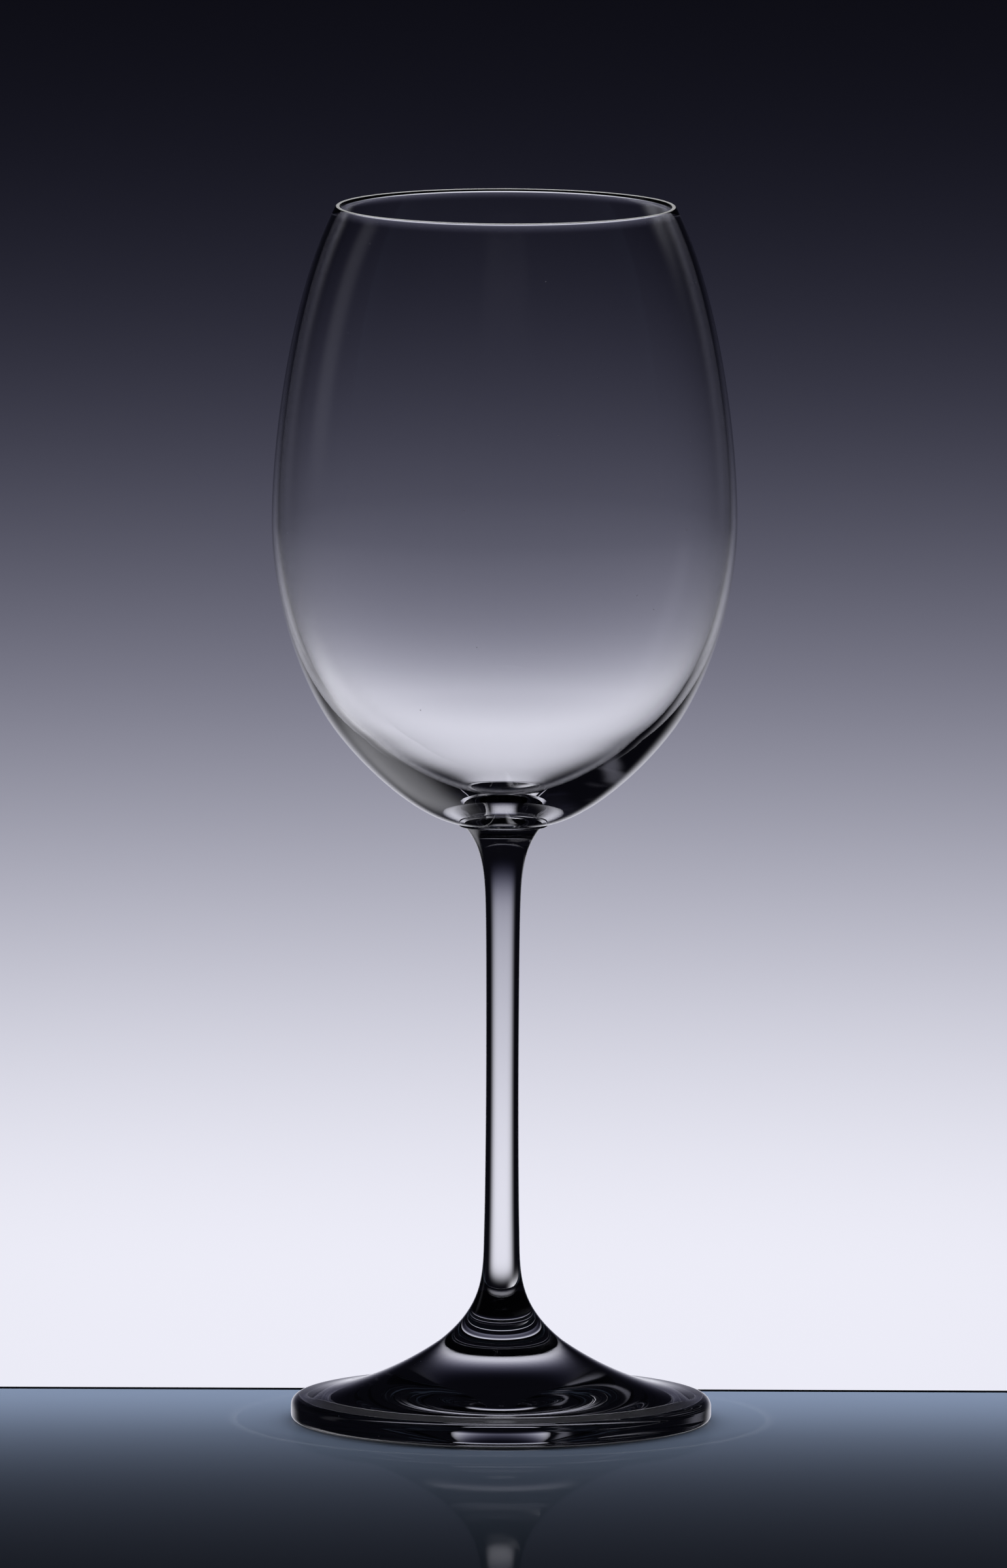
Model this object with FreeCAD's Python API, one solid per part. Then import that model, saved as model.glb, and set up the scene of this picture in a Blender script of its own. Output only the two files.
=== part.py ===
import FreeCAD, Part
import math
import os

os.makedirs("parts", exist_ok=True)

# A stemmed wine glass in one piece of clear glass: bowl, stem and foot.
# It is a body of revolution about +Z. The origin is on the axis, on the plane the foot stands on.
# All lengths are in millimetres and all angles in degrees.

# Overall sizes
glass_height = 235.0
bowl_height = 119.5        # from the top of the stem's lip up to the rim
belly_radius = 44.8        # widest point of the bowl
rim_radius = 32.3          # to the middle of the rim's wall
foot_radius = 40.5

# Bowl, outside
rim_lean = 63.0            # how steeply the wall runs down and outwards from the rim
rim_reach = 18.0
belly_rise = 58.5          # widest point above the stem's lip
belly_reach_up = 17.0
belly_reach_down = 15.2
shoulder_inset = 12.1      # how far inside the belly the bowl turns in under
shoulder_rise = 18.5       # that turn's height above the stem's lip
shoulder_lean = 53.5
shoulder_reach_up = 10.8
shoulder_reach_down = 8.6
underside_lean = 8.0       # slope where the bowl meets the stem's lip
underside_reach = 8.6

# Bowl, wall and inside
rim_wall = 1.05
belly_wall = 1.4
belly_wedge = 0.6          # how much more the wall's inside leans than its outside, going down
shoulder_wall = 2.75
shoulder_wedge = 4.4
inner_reach_down = 12.8    # from the belly
inner_reach_up = 12.2      # from the shoulder
floor_thickness = 3.4      # glass under the middle of the bowl, above the stem's lip
floor_reach = 11.8
floor_reach_out = 10.5

# Stem
lip_radius = 8.6           # the thin collar where the bowl sits on the stem
lip_thickness = 0.4        # its edge is half round
lip_overhang = 1.0         # how far the lip stands out past the top of the stem's flare
collar_lean = 48.0
collar_reach = 6.0
neck_drop = 19.4           # where the flare has run out, below the lip
neck_radius = 3.3
neck_taper = 1.0
neck_reach_up = 9.0
neck_reach_down = 6.0
waist_radius = 3.15        # the stem's thinnest point
waist_reach = 9.0
knee_rise = 22.4           # where the stem starts to spread, above the foot's crease
knee_radius = 3.4
knee_taper = 1.5
knee_reach_up = 5.0
knee_reach_down = 9.2

# Foot
crease_radius = 11.7       # the faint ring where the stem's spread meets the foot plate
crease_height = 15.3
crease_lean_above = 39.5
crease_lean_below = 36.0
crease_reach_above = 11.4
crease_reach_below = 9.0
foot_edge = 4.5            # height of the foot's rounded edge
foot_slope = 3.0           # fall of the foot's top where it meets the edge
foot_reach = 8.7
edge_round_top = 1.9
edge_round_bottom = 1.0
contact_width = 2.0        # flat ring that stands on the table
hollow_height = 3.0        # rise of the underside at the middle
hollow_lean = 12.0         # slope of the underside beside the flat ring
hollow_reach = 12.0


def at(radius, height):
    """A point of the half section, which lies in the XZ plane."""
    return FreeCAD.Vector(radius, 0, height)


def along(bearing, length):
    """A step in the half section. Bearing 0 points away from the axis, and 90 points up."""
    turn = math.radians(bearing)
    return FreeCAD.Vector(length * math.cos(turn), 0, length * math.sin(turn))


def bend(start, leaving, first_reach, end, arriving, last_reach):
    """A smooth curve that leaves start and arrives at end on the given bearings."""
    curve = Part.BezierCurve()
    curve.setPoles([start, start + along(leaving, first_reach), end - along(arriving, last_reach), end])
    return curve.toShape()


def straight(start, end):
    return Part.makeLine(start, end)


def rounding(centre, radius, first_bearing, last_bearing):
    """A circular arc about centre, from one bearing to the other."""
    middle_bearing = (first_bearing + last_bearing) / 2
    points = [centre + along(b, radius) for b in (first_bearing, middle_bearing, last_bearing)]
    return Part.Arc(*points).toShape()


# Heights and points that several stretches share
lip_top = glass_height - bowl_height
belly_height = lip_top + belly_rise
rim_centre = at(rim_radius, glass_height - rim_wall / 2)
rim_outside = rim_centre + along(90 - rim_lean, rim_wall / 2)
rim_inside = rim_centre - along(90 - rim_lean, rim_wall / 2)
shoulder = at(belly_radius - shoulder_inset, lip_top + shoulder_rise)
lip_round = at(lip_radius - lip_thickness / 2, lip_top - lip_thickness / 2)
lip_edge = lip_round + along(90, lip_thickness / 2)
crease = at(crease_radius, crease_height)


def bowl_outside():
    """From the rim down to the stem's lip."""
    belly = at(belly_radius, belly_height)
    turn_in = shoulder_lean - 180
    upper = bend(rim_outside, -rim_lean, rim_reach, belly, -90, belly_reach_up)
    side = bend(belly, -90, belly_reach_down, shoulder, turn_in, shoulder_reach_up)
    under = bend(shoulder, turn_in, shoulder_reach_down, lip_edge, underside_lean - 180, underside_reach)
    return [upper, side, under]


def stem_outside():
    """From the lip down to the crease on the foot."""
    lip_under = lip_round + along(-90, lip_thickness / 2)
    collar = at(lip_radius - lip_overhang, lip_under.z)
    neck = at(neck_radius, lip_top - neck_drop)
    knee = at(knee_radius, crease_height + knee_rise)
    waist = at(waist_radius, (neck.z + knee.z) / 2)
    neck_bearing = -90 - neck_taper
    knee_bearing = -90 + knee_taper
    return [
        rounding(lip_round, lip_thickness / 2, 90, -90),
        straight(lip_under, collar),
        bend(collar, collar_lean - 180, collar_reach, neck, neck_bearing, neck_reach_up),
        bend(neck, neck_bearing, neck_reach_down, waist, -90, waist_reach),
        bend(waist, -90, waist_reach, knee, knee_bearing, knee_reach_up),
        bend(knee, knee_bearing, knee_reach_down, crease, -crease_lean_above, crease_reach_above),
    ]


def foot_outside():
    """From the crease over the rounded edge and under the foot to the axis."""
    top_centre = at(foot_radius - edge_round_top, foot_edge - edge_round_top)
    bottom_centre = at(foot_radius - edge_round_bottom, edge_round_bottom)
    edge_start = top_centre + along(90 - foot_slope, edge_round_top)
    ring_outer = at(foot_radius - edge_round_bottom, 0)
    ring_inner = ring_outer - at(contact_width, 0)
    return [
        bend(crease, -crease_lean_below, crease_reach_below, edge_start, -foot_slope, foot_reach),
        rounding(top_centre, edge_round_top, 90 - foot_slope, 0),
        straight(at(foot_radius, top_centre.z), at(foot_radius, bottom_centre.z)),
        rounding(bottom_centre, edge_round_bottom, 0, -90),
        straight(ring_outer, ring_inner),
        bend(ring_inner, 180 - hollow_lean, hollow_reach, at(0, hollow_height), 180, hollow_reach),
    ]


def bowl_inside():
    """From the middle of the bowl's floor up to the rim, and round the rim."""
    floor = at(0, lip_top + floor_thickness)
    turn_out = shoulder_lean - shoulder_wedge
    turn_up = 90 - belly_wedge
    inner_shoulder = shoulder + along(shoulder_lean + 90, shoulder_wall)
    inner_belly = at(belly_radius - belly_wall, belly_height)
    return [
        bend(floor, 0, floor_reach, inner_shoulder, turn_out, floor_reach_out),
        bend(inner_shoulder, turn_out, inner_reach_up, inner_belly, turn_up, inner_reach_down),
        bend(inner_belly, turn_up, belly_reach_up, rim_inside, 180 - rim_lean, rim_reach),
        rounding(rim_centre, rim_wall / 2, 270 - rim_lean, 90 - rim_lean),
    ]


def wine_glass():
    """The half section turned once round the axis."""
    core = straight(at(0, hollow_height), at(0, lip_top + floor_thickness))
    edges = bowl_outside() + stem_outside() + foot_outside() + [core] + bowl_inside()
    section = Part.Face(Part.Wire(edges))
    return section.revolve(FreeCAD.Vector(0, 0, 0), FreeCAD.Vector(0, 0, 1), 360)


glass = wine_glass()
glass.exportStep("parts/wine_glass.step")
print("wine_glass", glass.isValid(), len(glass.Solids), "solid,", round(glass.Volume / 1000, 2), "ml of glass")
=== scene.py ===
import math
import bmesh
import bpy
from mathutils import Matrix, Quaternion, Vector


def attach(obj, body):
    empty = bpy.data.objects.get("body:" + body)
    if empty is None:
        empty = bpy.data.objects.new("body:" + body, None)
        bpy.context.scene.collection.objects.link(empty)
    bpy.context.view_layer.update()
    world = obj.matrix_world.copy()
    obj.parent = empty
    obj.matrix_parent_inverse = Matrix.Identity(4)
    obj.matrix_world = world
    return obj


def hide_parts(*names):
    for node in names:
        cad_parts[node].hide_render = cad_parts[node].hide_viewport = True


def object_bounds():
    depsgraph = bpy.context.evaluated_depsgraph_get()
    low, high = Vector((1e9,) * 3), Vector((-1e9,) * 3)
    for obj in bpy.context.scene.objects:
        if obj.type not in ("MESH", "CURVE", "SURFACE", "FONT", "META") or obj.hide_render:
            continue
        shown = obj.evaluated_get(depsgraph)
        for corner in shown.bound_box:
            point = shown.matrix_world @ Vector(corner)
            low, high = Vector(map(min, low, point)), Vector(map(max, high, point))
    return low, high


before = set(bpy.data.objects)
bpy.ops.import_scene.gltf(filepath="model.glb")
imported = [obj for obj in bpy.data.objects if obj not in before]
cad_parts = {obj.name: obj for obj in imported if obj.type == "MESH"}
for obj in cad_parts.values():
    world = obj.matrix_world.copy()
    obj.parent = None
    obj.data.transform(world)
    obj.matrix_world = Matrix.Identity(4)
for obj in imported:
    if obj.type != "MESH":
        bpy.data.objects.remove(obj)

cadBox = [list(corner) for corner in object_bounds()]
lowest, highest = cadBox
mm = 0.001
millilitre = 1000 * mm ** 3
print("frame loaded, height", round((highest[2] - lowest[2]) / mm, 1), "mm")


def link(tree, source, target):
    tree.links.new(source, target)


def mathNode(tree, operation, first, second=None, third=None):
    # each value is a number or the socket that it comes from
    made = tree.nodes.new("ShaderNodeMath")
    made.operation = operation
    for socket, value in zip(made.inputs, (first, second, third)):
        if value is None:
            continue
        if hasattr(value, "links"):
            link(tree, value, socket)
        else:
            socket.default_value = value
    return made.outputs[0]


def splitAxes(tree, vector):
    split = tree.nodes.new("ShaderNodeSeparateXYZ")
    link(tree, vector, split.inputs[0])
    return [split.outputs[axis] for axis in "XYZ"]


def emptyTree(owner):
    owner.use_nodes = True
    owner.node_tree.nodes.clear()
    return owner.node_tree


# sizes of the half section in millimetres and bearings in degrees, as in the CAD part
glassSizes = {
    "height": (highest[2] - lowest[2]) / mm,
    "bowlHeight": 119.5,
    "rimRadius": 32.3, "rimLean": 63.0, "rimReach": 18.0, "rimWall": 1.05,
    "bellyRadius": 44.8, "bellyRise": 58.5, "bellyReachUp": 17.0, "bellyReachDown": 15.2,
    "shoulderInset": 12.1, "shoulderRise": 18.5, "shoulderLean": 53.5,
    "shoulderReachUp": 10.8, "shoulderReachDown": 8.6,
    "undersideLean": 8.0, "undersideReach": 8.6,
    "bellyWall": 1.4, "bellyWedge": 0.6, "shoulderWall": 2.75, "shoulderWedge": 4.4,
    "floorThickness": 3.4, "floorReach": 11.8, "floorReachOut": 10.5,
    "innerReachUp": 12.2, "innerReachDown": 12.8,
    "lipRadius": 8.6, "lipThickness": 0.4, "lipOverhang": 1.0,
    "collarLean": 48.0, "collarReach": 6.0,
    "neckDrop": 19.4, "neckRadius": 3.3, "neckTaper": 1.0, "neckReachUp": 9.0, "neckReachDown": 6.0,
    "waistRadius": 3.15, "waistReach": 9.0,
    "kneeRise": 22.4, "kneeRadius": 3.4, "kneeTaper": 1.5, "kneeReachUp": 5.0, "kneeReachDown": 9.2,
    "creaseRadius": 11.7, "creaseHeight": 15.3, "creaseLeanAbove": 39.5, "creaseLeanBelow": 36.0,
    "creaseReachAbove": 11.4, "creaseReachBelow": 9.0,
    "footRadius": 40.5, "footEdge": 4.5, "footSlope": 3.0, "footReach": 8.7,
    "edgeRoundTop": 1.9, "edgeRoundBottom": 1.0, "contactWidth": 2.0,
    "hollowHeight": 3.0, "hollowLean": 12.0, "hollowReach": 12.0,
    "segments": 300, "joinDistance": 0.001, "creaseAngle": 35.0,
}
curvePoints = ("Start", "First handle", "Last handle", "End")


def at(radius, height):
    return Vector((radius, 0, height))


def along(bearing, length):
    turn = math.radians(bearing)
    return Vector((length * math.cos(turn), 0, length * math.sin(turn)))


def bend(name, rings, start, leaving, firstReach, end, arriving, lastReach):
    points = (start, start + along(leaving, firstReach), end - along(arriving, lastReach), end)
    return {"name": name, "rings": rings, "points": [p * mm for p in points]}


def straight(name, rings, start, end):
    points = (start, start.lerp(end, 1 / 3), start.lerp(end, 2 / 3), end)
    return {"name": name, "rings": rings, "points": [p * mm for p in points]}


def rounding(name, rings, centre, radius, first, last):
    # handles of this reach make a cubic curve follow a round arc
    turn = math.radians(last - first)
    reach = 4 / 3 * math.tan(abs(turn) / 4) * radius
    side = 90 if last > first else -90
    return bend(name, rings, centre + along(first, radius), first + side, reach,
                centre + along(last, radius), last + side, reach)


def outerBowl(g, belly, shoulder, rimOutside, lipEdge):
    turnIn = g["shoulderLean"] - 180
    return [
        bend("outer wall", 34, rimOutside, -g["rimLean"], g["rimReach"], belly, -90, g["bellyReachUp"]),
        bend("outer side", 28, belly, -90, g["bellyReachDown"], shoulder, turnIn, g["shoulderReachUp"]),
        bend("underside", 20, shoulder, turnIn, g["shoulderReachDown"], lipEdge, g["undersideLean"] - 180,
             g["undersideReach"]),
    ]


def lipAndStem(g, lipTop, lipRound, lipUnder):
    collar = at(g["lipRadius"] - g["lipOverhang"], lipUnder.z)
    neck = at(g["neckRadius"], lipTop - g["neckDrop"])
    crease = at(g["creaseRadius"], g["creaseHeight"])
    knee = at(g["kneeRadius"], g["creaseHeight"] + g["kneeRise"])
    waist = at(g["waistRadius"], (neck.z + knee.z) / 2)
    neckBearing, kneeBearing = -90 - g["neckTaper"], -90 + g["kneeTaper"]
    return [
        rounding("lip", 6, lipRound, g["lipThickness"] / 2, 90, -90),
        straight("lip underside", 1, lipUnder, collar),
        bend("flare", 20, collar, g["collarLean"] - 180, g["collarReach"], neck, neckBearing,
             g["neckReachUp"]),
        bend("upper stem", 8, neck, neckBearing, g["neckReachDown"], waist, -90, g["waistReach"]),
        bend("lower stem", 8, waist, -90, g["waistReach"], knee, kneeBearing, g["kneeReachUp"]),
        bend("spread", 20, knee, kneeBearing, g["kneeReachDown"], crease, -g["creaseLeanAbove"],
             g["creaseReachAbove"]),
    ]


def foot(g):
    crease = at(g["creaseRadius"], g["creaseHeight"])
    topCentre = at(g["footRadius"] - g["edgeRoundTop"], g["footEdge"] - g["edgeRoundTop"])
    bottomCentre = at(g["footRadius"] - g["edgeRoundBottom"], g["edgeRoundBottom"])
    edgeStart = topCentre + along(90 - g["footSlope"], g["edgeRoundTop"])
    ringOuter = at(bottomCentre.x, 0)
    ringInner = ringOuter - at(g["contactWidth"], 0)
    return [
        bend("foot top", 24, crease, -g["creaseLeanBelow"], g["creaseReachBelow"], edgeStart,
             -g["footSlope"], g["footReach"]),
        rounding("top of edge", 10, topCentre, g["edgeRoundTop"], 90 - g["footSlope"], 0),
        straight("edge", 1, at(g["footRadius"], topCentre.z), at(g["footRadius"], bottomCentre.z)),
        rounding("bottom of edge", 6, bottomCentre, g["edgeRoundBottom"], 0, -90),
        straight("contact ring", 1, ringOuter, ringInner),
        bend("hollow", 22, ringInner, 180 - g["hollowLean"], g["hollowReach"], at(0, g["hollowHeight"]),
             180, g["hollowReach"]),
    ]


def innerBowl(g, lipTop, belly, shoulder, rimInside):
    turnOut = g["shoulderLean"] - g["shoulderWedge"]
    turnUp = 90 - g["bellyWedge"]
    floor = at(0, lipTop + g["floorThickness"])
    innerShoulder = shoulder + along(g["shoulderLean"] + 90, g["shoulderWall"])
    innerBelly = belly - at(g["bellyWall"], 0)
    return [
        bend("bowl floor", 30, floor, 0, g["floorReach"], innerShoulder, turnOut, g["floorReachOut"]),
        bend("inner side", 28, innerShoulder, turnOut, g["innerReachUp"], innerBelly, turnUp,
             g["innerReachDown"]),
        bend("inner wall", 34, innerBelly, turnUp, g["bellyReachUp"], rimInside, 180 - g["rimLean"],
             g["rimReach"]),
    ]


def glassOutline(g):
    lipTop = g["height"] - g["bowlHeight"]
    rimCentre = at(g["rimRadius"], g["height"] - g["rimWall"] / 2)
    rimNormal = 90 - g["rimLean"]
    rimOutside = rimCentre + along(rimNormal, g["rimWall"] / 2)
    rimInside = rimCentre - along(rimNormal, g["rimWall"] / 2)
    belly = at(g["bellyRadius"], lipTop + g["bellyRise"])
    shoulder = at(g["bellyRadius"] - g["shoulderInset"], lipTop + g["shoulderRise"])
    lipRound = at(g["lipRadius"] - g["lipThickness"] / 2, lipTop - g["lipThickness"] / 2)
    lipEdge = lipRound + along(90, g["lipThickness"] / 2)
    lipUnder = lipRound + along(-90, g["lipThickness"] / 2)
    rim = [
        rounding("rim, inner half", 5, rimCentre, g["rimWall"] / 2, 180 + rimNormal, 90 + rimNormal),
        rounding("rim, outer half", 5, rimCentre, g["rimWall"] / 2, 90 + rimNormal, rimNormal),
    ]
    return (outerBowl(g, belly, shoulder, rimOutside, lipEdge)
            + lipAndStem(g, lipTop, lipRound, lipUnder) + foot(g)
            + innerBowl(g, lipTop, belly, shoulder, rimInside) + rim)


def mixVector(tree, factor, first, second):
    made = tree.nodes.new("ShaderNodeMix")
    made.data_type = "VECTOR"
    link(tree, factor, made.inputs["Factor"])
    ends = [s for s in made.inputs if s.type == "VECTOR" and s.name in ("A", "B")]
    link(tree, first, ends[0])
    link(tree, second, ends[1])
    return [s for s in made.outputs if s.type == "VECTOR"][0]


def turnedStretchGroup():
    # one stretch of the half section, a cubic curve, turned round the axis
    tree = bpy.data.node_groups.new("turnedStretch", "GeometryNodeTree")
    for name in curvePoints:
        tree.interface.new_socket(name, in_out="INPUT", socket_type="NodeSocketVector")
    for name in ("Rings", "Segments"):
        tree.interface.new_socket(name, in_out="INPUT", socket_type="NodeSocketInt")
    tree.interface.new_socket("Surface", in_out="OUTPUT", socket_type="NodeSocketGeometry")
    inside = tree.nodes.new("NodeGroupInput").outputs
    across = mathNode(tree, "ADD", inside["Segments"], 1)
    down = mathNode(tree, "ADD", inside["Rings"], 1)
    grid = tree.nodes.new("GeometryNodeMeshGrid")
    link(tree, down, grid.inputs["Vertices X"])
    link(tree, across, grid.inputs["Vertices Y"])
    index = tree.nodes.new("GeometryNodeInputIndex").outputs[0]
    # the extra half keeps a whole number from being rounded down
    ring = mathNode(tree, "FLOOR", mathNode(tree, "DIVIDE", mathNode(tree, "ADD", index, 0.5), across))
    segment = mathNode(tree, "SUBTRACT", index, mathNode(tree, "MULTIPLY", ring, across))
    t = mathNode(tree, "DIVIDE", ring, inside["Rings"])
    a = mixVector(tree, t, inside["Start"], inside["First handle"])
    b = mixVector(tree, t, inside["First handle"], inside["Last handle"])
    c = mixVector(tree, t, inside["Last handle"], inside["End"])
    point = mixVector(tree, t, mixVector(tree, t, a, b), mixVector(tree, t, b, c))
    share = mathNode(tree, "DIVIDE", segment, inside["Segments"])
    turn = mathNode(tree, "MULTIPLY", share, 2 * math.pi)
    rotate = tree.nodes.new("ShaderNodeVectorRotate")
    rotate.rotation_type = "Z_AXIS"
    link(tree, point, rotate.inputs["Vector"])
    link(tree, turn, rotate.inputs["Angle"])
    place = tree.nodes.new("GeometryNodeSetPosition")
    link(tree, grid.outputs["Mesh"], place.inputs["Geometry"])
    link(tree, rotate.outputs[0], place.inputs["Position"])
    out = tree.nodes.new("NodeGroupOutput")
    link(tree, place.outputs[0], out.inputs[0])
    return tree


def turnedSolidTree(outline):
    tree = bpy.data.node_groups.new("turnedSolid", "GeometryNodeTree")
    stretchGroup = turnedStretchGroup()
    face = tree.interface
    face.new_socket("Geometry", in_out="INPUT", socket_type="NodeSocketGeometry")
    for stretch in outline:
        for name in curvePoints:
            face.new_socket(stretch["name"] + " " + name.lower(), in_out="INPUT",
                            socket_type="NodeSocketVector")
        face.new_socket(stretch["name"] + " rings", in_out="INPUT", socket_type="NodeSocketInt")
    face.new_socket("Segments", in_out="INPUT", socket_type="NodeSocketInt")
    face.new_socket("Join distance", in_out="INPUT", socket_type="NodeSocketFloat")
    face.new_socket("Crease angle", in_out="INPUT", socket_type="NodeSocketFloat")
    face.new_socket("Material", in_out="INPUT", socket_type="NodeSocketMaterial")
    face.new_socket("Geometry", in_out="OUTPUT", socket_type="NodeSocketGeometry")
    inside = tree.nodes.new("NodeGroupInput").outputs
    join = tree.nodes.new("GeometryNodeJoinGeometry")
    for stretch in outline:
        part = tree.nodes.new("GeometryNodeGroup")
        part.node_tree = stretchGroup
        for name in curvePoints:
            link(tree, inside[stretch["name"] + " " + name.lower()], part.inputs[name])
        link(tree, inside[stretch["name"] + " rings"], part.inputs["Rings"])
        link(tree, inside["Segments"], part.inputs["Segments"])
        link(tree, part.outputs[0], join.inputs[0])
    merge = tree.nodes.new("GeometryNodeMergeByDistance")
    link(tree, join.outputs[0], merge.inputs["Geometry"])
    link(tree, inside["Join distance"], merge.inputs["Distance"])
    smooth = tree.nodes.new("GeometryNodeSetShadeSmooth")
    link(tree, merge.outputs[0], smooth.inputs["Geometry"])
    # only the groove above the lip and the corner under it stay sharp
    angle = tree.nodes.new("GeometryNodeInputMeshEdgeAngle")
    sharp = mathNode(tree, "GREATER_THAN", angle.outputs["Unsigned Angle"], inside["Crease angle"])
    creases = tree.nodes.new("GeometryNodeSetShadeSmooth")
    creases.domain = "EDGE"
    creases.inputs["Shade Smooth"].default_value = False
    link(tree, smooth.outputs[0], creases.inputs["Geometry"])
    link(tree, sharp, creases.inputs["Selection"])
    realize = tree.nodes.new("GeometryNodeRealizeInstances")
    link(tree, creases.outputs[0], realize.inputs[0])
    paint = tree.nodes.new("GeometryNodeSetMaterial")
    link(tree, realize.outputs[0], paint.inputs["Geometry"])
    link(tree, inside["Material"], paint.inputs["Material"])
    out = tree.nodes.new("NodeGroupOutput")
    link(tree, paint.outputs[0], out.inputs[0])
    return tree


def setInput(modifier, name, value):
    for item in modifier.node_group.interface.items_tree:
        if item.item_type == "SOCKET" and item.in_out == "INPUT" and item.name == name:
            modifier[item.identifier] = value


# lengths in millimetres, the depth's density for each metre of glass
glassLook = {
    "ior": 1.51, "tint": (0.99, 0.99, 1.0, 1),
    "depthTint": (0.93, 0.93, 0.94, 1), "depthDensity": 80.0,
    "rimFrost": 0.16, "rimFade": 0.07, "rimRoughness": 0.45, "rimClear": 0.3,
    "waveSize": 14.0, "waveHeight": 0.0016, "waveStretch": 0.35, "waveDetail": 1.0,
    "ringSpacing": 1.3, "ringHeight": 0.00012, "ringsWhole": 30, "ringsGone": 40,
    "speckSpacing": 2.6, "speckShare": 0.04, "speckRadius": 0.10, "speckRoughness": 0.7, "speckClear": 0.5,
}


def mapSteps(tree, value, first, last, low, high):
    made = tree.nodes.new("ShaderNodeMapRange")
    made.interpolation_type = "SMOOTHSTEP"
    link(tree, value, made.inputs["Value"])
    for name, number in (("From Min", first), ("From Max", last), ("To Min", low), ("To Max", high)):
        made.inputs[name].default_value = number
    return made.outputs[0]


def blownWaves(tree, place):
    # the slow waviness of hot glass, drawn out along the height
    look = glassLook
    stretch = tree.nodes.new("ShaderNodeMapping")
    stretch.inputs["Scale"].default_value = (1, 1, look["waveStretch"])
    link(tree, place, stretch.inputs["Vector"])
    noise = tree.nodes.new("ShaderNodeTexNoise")
    noise.inputs["Scale"].default_value = 1 / (look["waveSize"] * mm)
    noise.inputs["Detail"].default_value = look["waveDetail"]
    link(tree, stretch.outputs[0], noise.inputs["Vector"])
    return mathNode(tree, "MULTIPLY", noise.outputs[0], look["waveHeight"] * mm)


def pressedRings(tree, radius, height):
    # fine rings left where the foot was spun, up to the start of the stem
    look = glassLook
    turn = mathNode(tree, "MULTIPLY", radius, 2 * math.pi / (look["ringSpacing"] * mm))
    wave = mathNode(tree, "MULTIPLY", mathNode(tree, "SINE", turn), look["ringHeight"] * mm)
    onFoot = mapSteps(tree, height, look["ringsWhole"] * mm, look["ringsGone"] * mm, 1, 0)
    return mathNode(tree, "MULTIPLY", wave, onFoot)


def dustSpecks(tree, place):
    # a few tiny matt specks, most cells have none
    look = glassLook
    cells = tree.nodes.new("ShaderNodeTexVoronoi")
    cells.inputs["Scale"].default_value = 1 / (look["speckSpacing"] * mm)
    link(tree, place, cells.inputs["Vector"])
    near = mathNode(tree, "LESS_THAN", cells.outputs["Distance"], look["speckRadius"] / look["speckSpacing"])
    split = tree.nodes.new("ShaderNodeSeparateColor")
    link(tree, cells.outputs["Color"], split.inputs[0])
    chosen = mathNode(tree, "LESS_THAN", split.outputs[0], look["speckShare"])
    return mathNode(tree, "MULTIPLY", near, chosen)


def clearGlass():
    look = glassLook
    made = bpy.data.materials.new("clearGlass")
    made.use_nodes = True
    tree = made.node_tree
    body = tree.nodes["Principled BSDF"]
    body.inputs["Base Color"].default_value = look["tint"]
    body.inputs["IOR"].default_value = look["ior"]
    place = tree.nodes.new("ShaderNodeTexCoord").outputs["Object"]
    x, y, z = splitAxes(tree, place)
    # the crest of the rim is ground, so it catches the light as a fine line
    frostStart = highest[2] - look["rimFrost"] * mm
    frost = mapSteps(tree, z, frostStart, frostStart + look["rimFade"] * mm, 0, 1)
    speck = dustSpecks(tree, place)
    roughness = mathNode(tree, "ADD", mathNode(tree, "MULTIPLY", frost, look["rimRoughness"]),
                         mathNode(tree, "MULTIPLY", speck, look["speckRoughness"]))
    link(tree, roughness, body.inputs["Roughness"])
    cloudy = mathNode(tree, "MAXIMUM", mathNode(tree, "MULTIPLY", frost, 1 - look["rimClear"]),
                      mathNode(tree, "MULTIPLY", speck, 1 - look["speckClear"]))
    link(tree, mathNode(tree, "SUBTRACT", 1, cloudy), body.inputs["Transmission Weight"])
    radius = mathNode(tree, "SQRT", mathNode(tree, "ADD", mathNode(tree, "POWER", x, 2),
                                             mathNode(tree, "POWER", y, 2)))
    # the relief is a height in metres, so the bump takes it as it is
    relief = mathNode(tree, "ADD", blownWaves(tree, place), pressedRings(tree, radius, z))
    bump = tree.nodes.new("ShaderNodeBump")
    bump.inputs["Distance"].default_value = 1.0
    link(tree, relief, bump.inputs["Height"])
    link(tree, bump.outputs[0], body.inputs["Normal"])
    depth = tree.nodes.new("ShaderNodeVolumeAbsorption")
    depth.inputs["Color"].default_value = look["depthTint"]
    depth.inputs["Density"].default_value = look["depthDensity"]
    link(tree, depth.outputs[0], tree.nodes["Material Output"].inputs["Volume"])
    return made


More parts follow.
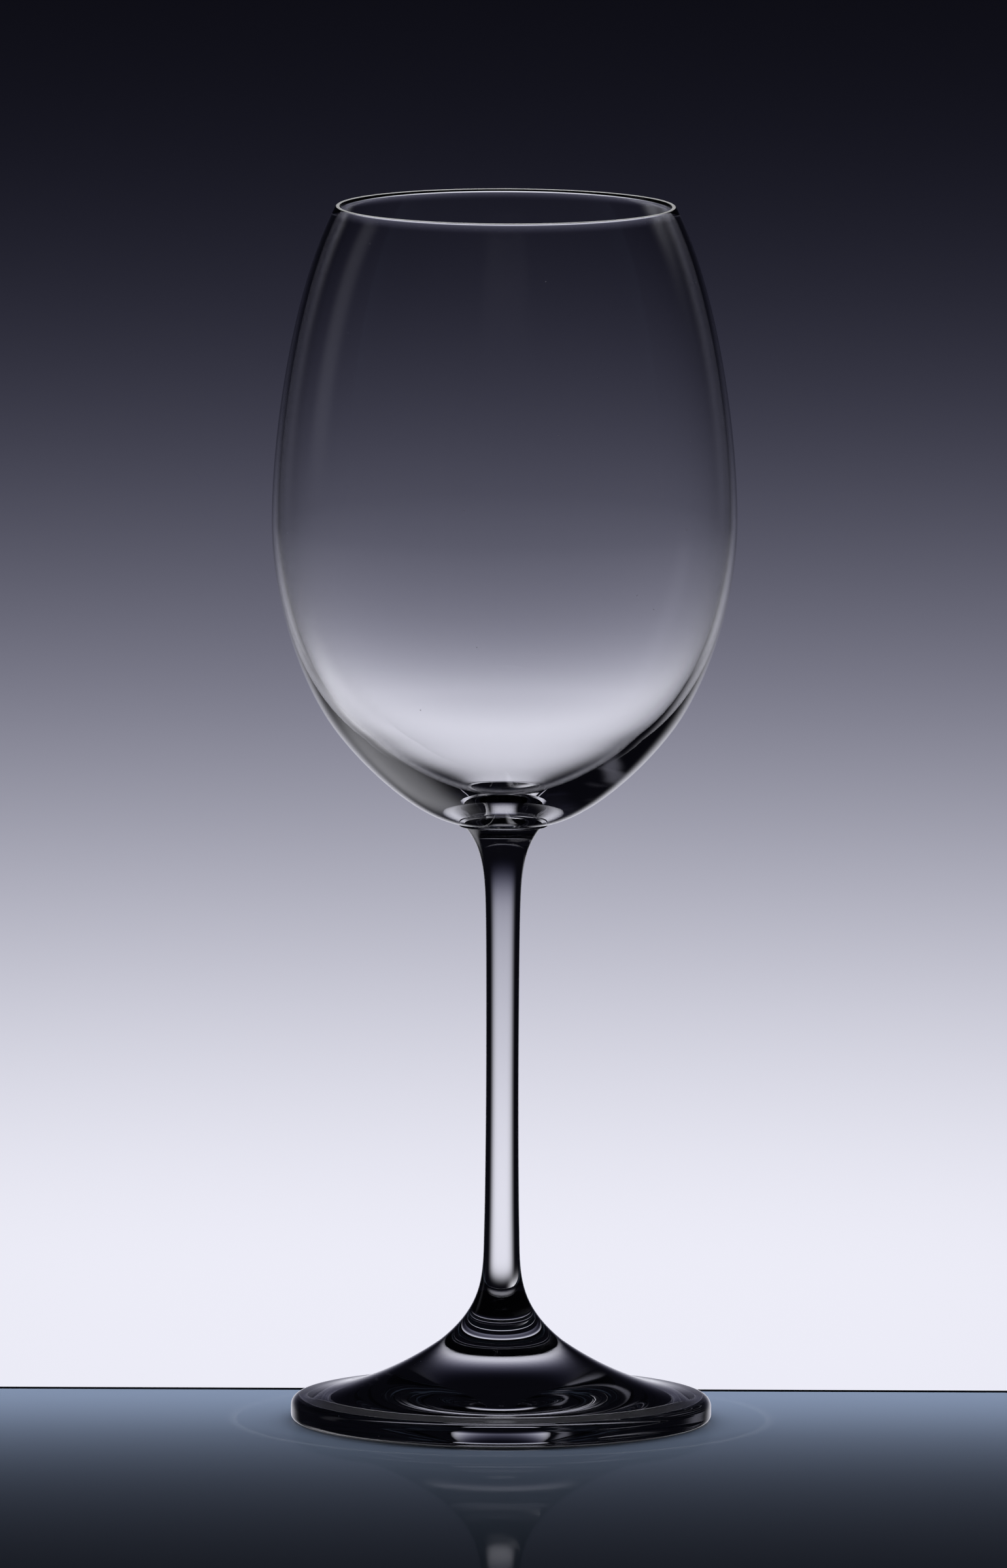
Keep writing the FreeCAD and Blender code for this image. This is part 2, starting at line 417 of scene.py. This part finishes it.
def makeGlass():
    g = glassSizes
    outline = glassOutline(g)
    oneVertex = bpy.data.meshes.new("wineGlass")
    oneVertex.from_pydata([(0, 0, 0)], [], [])
    glass = bpy.data.objects.new("wineGlass", oneVertex)
    bpy.context.scene.collection.objects.link(glass)
    modifier = glass.modifiers.new("turned", "NODES")
    modifier.node_group = turnedSolidTree(outline)
    for stretch in outline:
        for name, point in zip(curvePoints, stretch["points"]):
            setInput(modifier, stretch["name"] + " " + name.lower(), list(point))
        setInput(modifier, stretch["name"] + " rings", stretch["rings"])
    setInput(modifier, "Segments", g["segments"])
    setInput(modifier, "Join distance", g["joinDistance"] * mm)
    setInput(modifier, "Crease angle", math.radians(g["creaseAngle"]))
    setInput(modifier, "Material", clearGlass())
    settled = glass.evaluated_get(bpy.context.evaluated_depsgraph_get())
    mesh = bpy.data.meshes.new_from_object(settled)
    glass.modifiers.clear()
    glass.data = mesh
    volume = faceOutwards(mesh)
    triangles = sum(len(face.vertices) - 2 for face in mesh.polygons)
    print("glass turned,", triangles, "triangles,", round(volume / millilitre, 2), "millilitres of glass")
    return glass


def faceOutwards(mesh):
    shell = bmesh.new()
    shell.from_mesh(mesh)
    volume = shell.calc_volume(signed=True)
    if volume < 0:
        bmesh.ops.reverse_faces(shell, faces=shell.faces)
        shell.to_mesh(mesh)
    shell.free()
    return abs(volume)


glass = makeGlass()
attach(glass, "root")
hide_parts("wine_glass")

# lengths in metres, the back edge lies just behind the foot
tableSetup = {
    "backEdge": 0.043, "depth": 3.0, "width": 6.0, "drop": 0.0001, "edgeLine": 0.003,
    # the colour seen through the glass is a painted shade, nearly black in place of the pale top
    "colour": (0.8, 0.8, 0.8, 1), "shadeThroughGlass": (0.07, 0.07, 0.07, 1), "edgeColour": (0.01, 0.01, 0.01, 1),
    "polish": 0.13, "polishRoughness": 0.04,
}


def paleTop():
    # pale to look at; for rays through the glass the top is painted nearly black, a painted shade that keeps
    # the foot and what the glass gathers from below dark
    t = tableSetup
    made = bpy.data.materials.new("paleTop")
    tree = emptyTree(made)
    path = tree.nodes.new("ShaderNodeLightPath")
    pale = tree.nodes.new("ShaderNodeMix")
    pale.data_type = "RGBA"
    ends = [socket for socket in pale.inputs if socket.type == "RGBA"]
    ends[0].default_value, ends[1].default_value = t["shadeThroughGlass"], t["colour"]
    link(tree, path.outputs["Is Camera Ray"], pale.inputs["Factor"])
    matt = tree.nodes.new("ShaderNodeBsdfDiffuse")
    link(tree, [socket for socket in pale.outputs if socket.type == "RGBA"][0], matt.inputs["Color"])
    polish = tree.nodes.new("ShaderNodeBsdfGlossy")
    polish.inputs["Roughness"].default_value = t["polishRoughness"]
    mix = tree.nodes.new("ShaderNodeMixShader")
    mix.inputs[0].default_value = t["polish"]
    link(tree, matt.outputs[0], mix.inputs[1])
    link(tree, polish.outputs[0], mix.inputs[2])
    out = tree.nodes.new("ShaderNodeOutputMaterial")
    link(tree, mix.outputs[0], out.inputs["Surface"])
    return made


def plainMatt(name, colour):
    made = bpy.data.materials.new(name)
    made.use_nodes = True
    surface = made.node_tree.nodes["Principled BSDF"]
    surface.inputs["Base Color"].default_value = colour
    surface.inputs["Specular IOR Level"].default_value = 0.0
    return made


def stagePiece(name, corners, faces):
    mesh = bpy.data.meshes.new(name)
    mesh.from_pydata(corners, [], faces)
    piece = bpy.data.objects.new(name, mesh)
    bpy.context.scene.collection.objects.link(piece)
    return piece


def makeTable():
    t = tableSetup
    half = t["width"] / 2
    rows = (t["backEdge"] - t["depth"], t["backEdge"] - t["edgeLine"], t["backEdge"])
    corners = [(x, y, -t["drop"]) for y in rows for x in (-half, half)]
    table = stagePiece("table", corners, [(0, 1, 3, 2), (2, 3, 5, 4)])
    table.data.materials.append(paleTop())
    table.data.materials.append(plainMatt("tableEdge", t["edgeColour"]))
    table.data.polygons[1].material_index = 1
    table.visible_glossy = False


backdropSetup = {
    "distance": 0.673, "halfWidth": 0.9, "lowest": -0.7, "highest": 0.5,
    # heights and distances in metres, the light is halved at lowHalf and sideHalf away
    "bandTop": -0.065, "fadeUp": 74.0, "fadeUpPower": 1.9,
    "bandBottom": -0.06, "lowHalf": 0.137, "lowPower": 3.3,
    "sideHalf": 0.30, "sidePower": 4,
    "colour": (0.84, 0.84, 0.93), "fadeColour": (1.0, 1.0, 0.9),
}


def fallOff(tree, distance, half, power):
    # 1 at no distance, one half at the half distance, then down to 0
    share = mathNode(tree, "POWER", mathNode(tree, "DIVIDE", distance, half), power)
    return mathNode(tree, "EXPONENT", mathNode(tree, "MULTIPLY", share, -math.log(2)))


def backdropGlow(tree):
    # painted glow, not a lit surface: a bright band low on the sheet that fades upwards, downwards and to the
    # sides
    b = backdropSetup
    x, _, z = splitAxes(tree, tree.nodes.new("ShaderNodeTexCoord").outputs["Object"])
    above = mathNode(tree, "MAXIMUM", mathNode(tree, "SUBTRACT", z, b["bandTop"]), 0)
    below = mathNode(tree, "MAXIMUM", mathNode(tree, "SUBTRACT", b["bandBottom"], z), 0)
    low = fallOff(tree, below, b["lowHalf"], b["lowPower"])
    side = fallOff(tree, mathNode(tree, "ABSOLUTE", x), b["sideHalf"], b["sidePower"])
    rise = mathNode(tree, "MULTIPLY", mathNode(tree, "POWER", above, b["fadeUpPower"]), -b["fadeUp"])
    colour = tree.nodes.new("ShaderNodeCombineColor")
    for k in range(3):
        fade = mathNode(tree, "EXPONENT", mathNode(tree, "MULTIPLY", rise, b["fadeColour"][k]))
        link(tree, mathNode(tree, "MULTIPLY", fade, b["colour"][k]), colour.inputs[k])
    glow = tree.nodes.new("ShaderNodeEmission")
    link(tree, colour.outputs[0], glow.inputs["Color"])
    link(tree, mathNode(tree, "MULTIPLY", low, side), glow.inputs["Strength"])
    return glow


def softLightSheet():
    made = bpy.data.materials.new("glowingBackdrop")
    tree = emptyTree(made)
    clear = tree.nodes.new("ShaderNodeBsdfTransparent")
    lit = tree.nodes.new("ShaderNodeAddShader")
    link(tree, backdropGlow(tree).outputs[0], lit.inputs[0])
    link(tree, clear.outputs[0], lit.inputs[1])
    # one sided, so that a view from behind looks through it
    side = tree.nodes.new("ShaderNodeNewGeometry")
    mix = tree.nodes.new("ShaderNodeMixShader")
    link(tree, side.outputs["Backfacing"], mix.inputs[0])
    link(tree, lit.outputs[0], mix.inputs[1])
    link(tree, clear.outputs[0], mix.inputs[2])
    out = tree.nodes.new("ShaderNodeOutputMaterial")
    link(tree, mix.outputs[0], out.inputs["Surface"])
    return made


def makeBackdrop():
    b = backdropSetup
    w, y = b["halfWidth"], b["distance"]
    corners = [(-w, y, b["lowest"]), (w, y, b["lowest"]), (w, y, b["highest"]), (-w, y, b["highest"])]
    backdrop = stagePiece("backdrop", corners, [(0, 1, 2, 3)])
    backdrop.data.materials.append(softLightSheet())
    backdrop.visible_diffuse = False


# soft panels far off: middle and half width in degrees, then how square the panel's edge is
roomSetup = {
    "dark": (0.0030, 0.0030, 0.0048),
    "panels": {
        "lowLeft": {"azimuth": (-34, 16, 4), "elevation": (-42, 16, 4), "colour": (1.05, 1.05, 1.13)},
        "leftStrip": {"azimuth": (-70, 6, 3), "elevation": (15, 15, 6), "colour": (0.13, 0.13, 0.15)},
    },
}


def makeRoom():
    world = bpy.data.worlds.new("studioRoom")
    tree = emptyTree(world)
    x, y, z = splitAxes(tree, tree.nodes.new("ShaderNodeTexCoord").outputs["Generated"])
    # azimuth is 0 straight behind the glass and grows to the right
    azimuth = mathNode(tree, "MULTIPLY", mathNode(tree, "ARCTAN2", x, y), 180 / math.pi)
    elevation = mathNode(tree, "MULTIPLY", mathNode(tree, "ARCSINE", z), 180 / math.pi)
    total = list(roomSetup["dark"])
    for panel in roomSetup["panels"].values():
        shares = []
        for angle, (middle, half, power) in ((azimuth, panel["azimuth"]), (elevation, panel["elevation"])):
            away = mathNode(tree, "ABSOLUTE", mathNode(tree, "SUBTRACT", angle, middle))
            shares.append(fallOff(tree, away, half, power))
        seen = mathNode(tree, "MULTIPLY", *shares)
        total = [mathNode(tree, "MULTIPLY_ADD", seen, panel["colour"][k], total[k]) for k in range(3)]
    colour = tree.nodes.new("ShaderNodeCombineColor")
    for k in range(3):
        link(tree, total[k], colour.inputs[k])
    background = tree.nodes.new("ShaderNodeBackground")
    link(tree, colour.outputs[0], background.inputs["Color"])
    out = tree.nodes.new("ShaderNodeOutputWorld")
    link(tree, background.outputs[0], out.inputs["Surface"])
    bpy.context.scene.world = world
    world.cycles_visibility.diffuse = False


# places and sizes in metres, power in watts, the spot's half angle in degrees
lampSetup = {
    "strip": {"place": (0, 0.05, 0.085), "size": (1.2, 0.02), "power": 0.26, "colour": (0.78, 1.0, 1.45)},
    "rimSpot": {"height": 1.2, "halfAngle": 2.1, "blend": 0.05, "radius": 0.01, "power": 38.0},
}


def hangLamp(name, light, place):
    # a new lamp points straight down, and these two light only what is matt
    lamp = bpy.data.objects.new(name, light)
    bpy.context.scene.collection.objects.link(lamp)
    lamp.location = place
    lamp.visible_camera = False
    lamp.visible_glossy = False
    lamp.visible_transmission = False


def makeLamps():
    strip = lampSetup["strip"]
    light = bpy.data.lights.new("tableStrip", "AREA")
    light.shape = "RECTANGLE"
    light.size, light.size_y = strip["size"]
    light.energy = strip["power"]
    light.color = strip["colour"]
    hangLamp("tableStrip", light, strip["place"])
    spot = lampSetup["rimSpot"]
    light = bpy.data.lights.new("rimSpot", "SPOT")
    light.energy = spot["power"]
    light.spot_size = 2 * math.radians(spot["halfAngle"])
    light.spot_blend = spot["blend"]
    light.shadow_soft_size = spot["radius"]
    hangLamp("rimSpot", light, (0, 0, spot["height"]))


makeTable()
makeBackdrop()
makeRoom()
makeLamps()
print("studio lit")

# angles in degrees, lengths in metres, the sensor in millimetres
cameraSetup = {
    "elevation": 6.9, "distance": 7.0, "roll": 0.232,
    "aimHeight": 0.1232, "frameHeight": 0.3016,
    "sensor": 36, "nearest": 1, "farthest": 20,
}


def makeCamera():
    c = cameraSetup
    camera = bpy.data.cameras.new("camera")
    camera.sensor_fit = "AUTO"
    camera.sensor_width = c["sensor"]
    camera.lens = camera.sensor_width * c["distance"] / c["frameHeight"]
    camera.clip_start, camera.clip_end = c["nearest"], c["farthest"]
    holder = bpy.data.objects.new("camera", camera)
    bpy.context.scene.collection.objects.link(holder)
    turn = math.radians(c["elevation"])
    back = Vector((0, -math.cos(turn), math.sin(turn)))
    holder.location = Vector((0, 0, c["aimHeight"])) + back * c["distance"]
    holder.rotation_mode = "QUATERNION"
    holder.rotation_quaternion = back.to_track_quat("Z", "Y") @ Quaternion((0, 0, 1), math.radians(c["roll"]))
    bpy.context.scene.camera = holder


# light runs round inside the wall many times before it leaves
finishSetup = {"bounces": 40, "clearLayers": 16}


def setFinish():
    scene = bpy.context.scene
    scene.view_settings.view_transform = "Standard"
    scene.cycles.max_bounces = finishSetup["bounces"]
    scene.cycles.transmission_bounces = finishSetup["bounces"]
    scene.cycles.glossy_bounces = finishSetup["bounces"]
    scene.cycles.transparent_max_bounces = finishSetup["clearLayers"]
    scene.cycles.caustics_refractive = False
    scene.cycles.caustics_reflective = False


makeCamera()
setFinish()
print("camera set")
